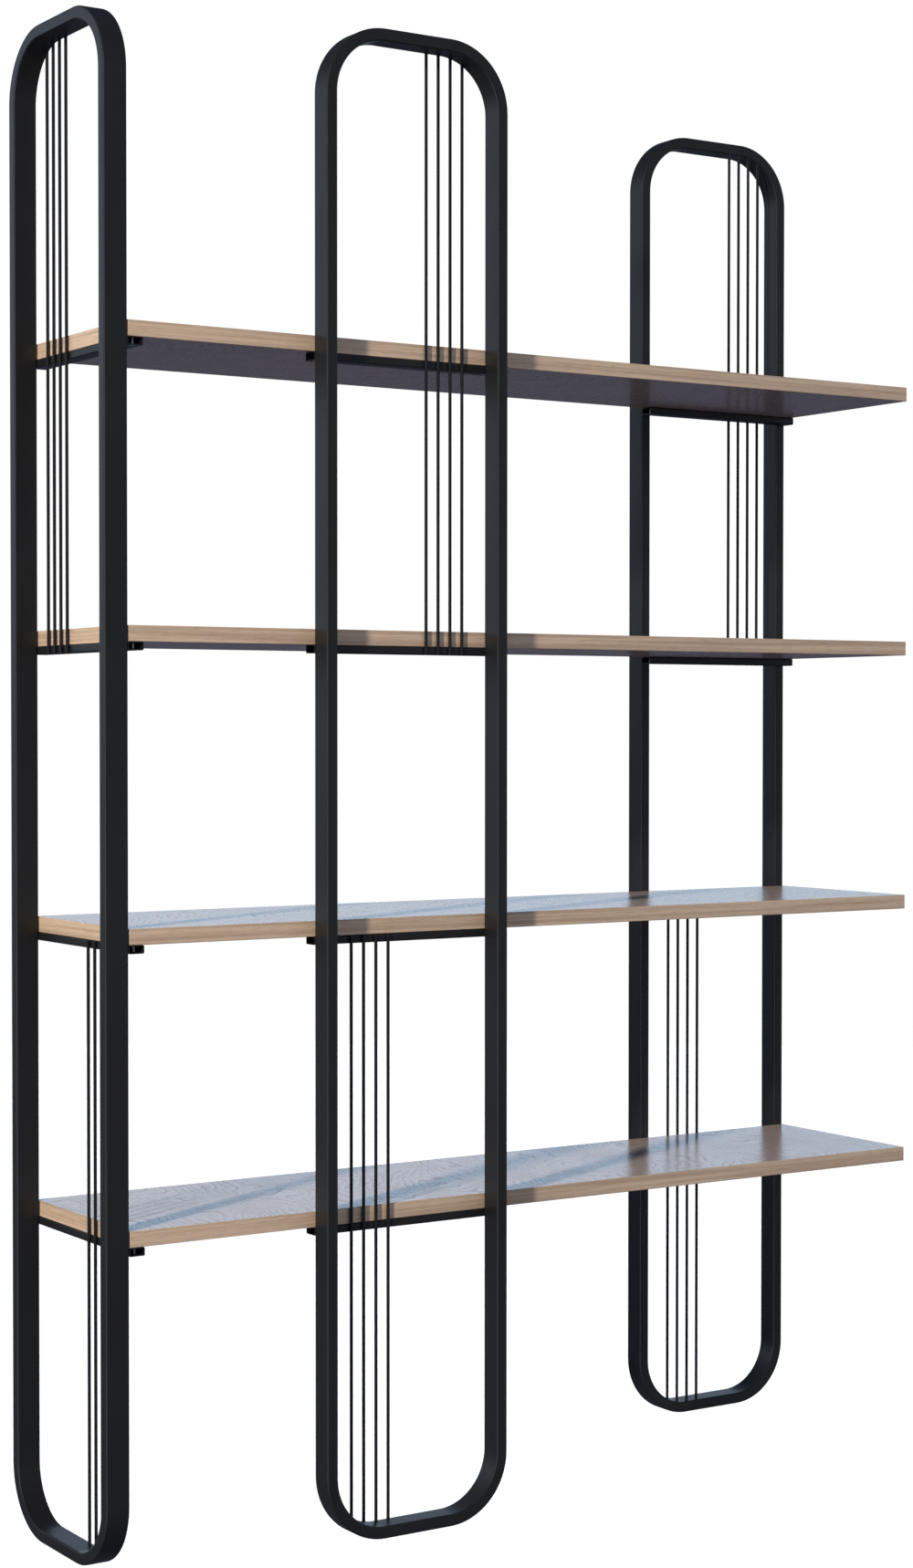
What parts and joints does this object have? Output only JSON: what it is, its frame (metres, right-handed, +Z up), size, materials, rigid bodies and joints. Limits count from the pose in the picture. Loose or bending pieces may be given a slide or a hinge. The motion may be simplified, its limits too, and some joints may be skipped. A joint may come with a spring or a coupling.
{
  "type": "bookcase",
  "caption": "Open bookcase: oak shelves carried on cross rails by bent black steel loop frames at the end, front and back, with thin upright rods as book stops.",
  "frame": {"origin": "on the floor, midway along the bookcase and midway across its depth", "axes": "+Z up, +X along the shelves towards the right, +Y from the front to the back"},
  "size_m": [1.226, 0.32, 1.82],
  "materials": {
    "frame_black": "satin black powder coat",
    "rod_black": "satin black powder coat",
    "rail_black": "satin black powder coat",
    "oak_veneer": "lacquered oak veneer",
    "oak_edge": "lacquered oak edge band",
    "screw_steel": "zinc plated"
  },
  "bodies": {
    "root": {"left_frame": "frame_black", "left_upper_rod_1": "rod_black", "left_upper_rod_2": "rod_black", "left_upper_rod_3": "rod_black", "left_upper_rod_4": "rod_black", "left_lower_rod_1": "rod_black", "left_lower_rod_2": "rod_black", "left_lower_rod_3": "rod_black", "left_lower_rod_4": "rod_black", "middle_frame": "frame_black", "middle_upper_rod_1": "rod_black", "middle_upper_rod_2": "rod_black", "middle_upper_rod_3": "rod_black", "middle_upper_rod_4": "rod_black", "middle_lower_rod_1": "rod_black", "middle_lower_rod_2": "rod_black", "middle_lower_rod_3": "rod_black", "middle_lower_rod_4": "rod_black", "right_frame": "frame_black", "right_upper_rod_1": "rod_black", "right_upper_rod_2": "rod_black", "right_upper_rod_3": "rod_black", "right_upper_rod_4": "rod_black", "right_lower_rod_1": "rod_black", "right_lower_rod_2": "rod_black", "right_lower_rod_3": "rod_black", "right_lower_rod_4": "rod_black", "bottom_shelf_left_rail": "rail_black", "bottom_shelf_middle_rail": "rail_black", "bottom_shelf_right_rail": "rail_black", "bottom_shelf_panel": "oak_veneer", "bottom_shelf_front_band": "oak_edge", "bottom_shelf_back_band": "oak_edge", "bottom_shelf_left_band": "oak_edge", "bottom_shelf_right_band": "oak_edge", "lower_shelf_left_rail": "rail_black", "lower_shelf_middle_rail": "rail_black", "lower_shelf_right_rail": "rail_black", "lower_shelf_panel": "oak_veneer", "lower_shelf_front_band": "oak_edge", "lower_shelf_back_band": "oak_edge", "lower_shelf_left_band": "oak_edge", "lower_shelf_right_band": "oak_edge", "upper_shelf_left_rail": "rail_black", "upper_shelf_middle_rail": "rail_black", "upper_shelf_right_rail": "rail_black", "upper_shelf_panel": "oak_veneer", "upper_shelf_front_band": "oak_edge", "upper_shelf_back_band": "oak_edge", "upper_shelf_left_band": "oak_edge", "upper_shelf_right_band": "oak_edge", "top_shelf_left_rail": "rail_black", "top_shelf_middle_rail": "rail_black", "top_shelf_right_rail": "rail_black", "top_shelf_panel": "oak_veneer", "top_shelf_front_band": "oak_edge", "top_shelf_back_band": "oak_edge", "top_shelf_left_band": "oak_edge", "top_shelf_right_band": "oak_edge", "shelf_screws": "screw_steel"}
  },
  "joints": []
}
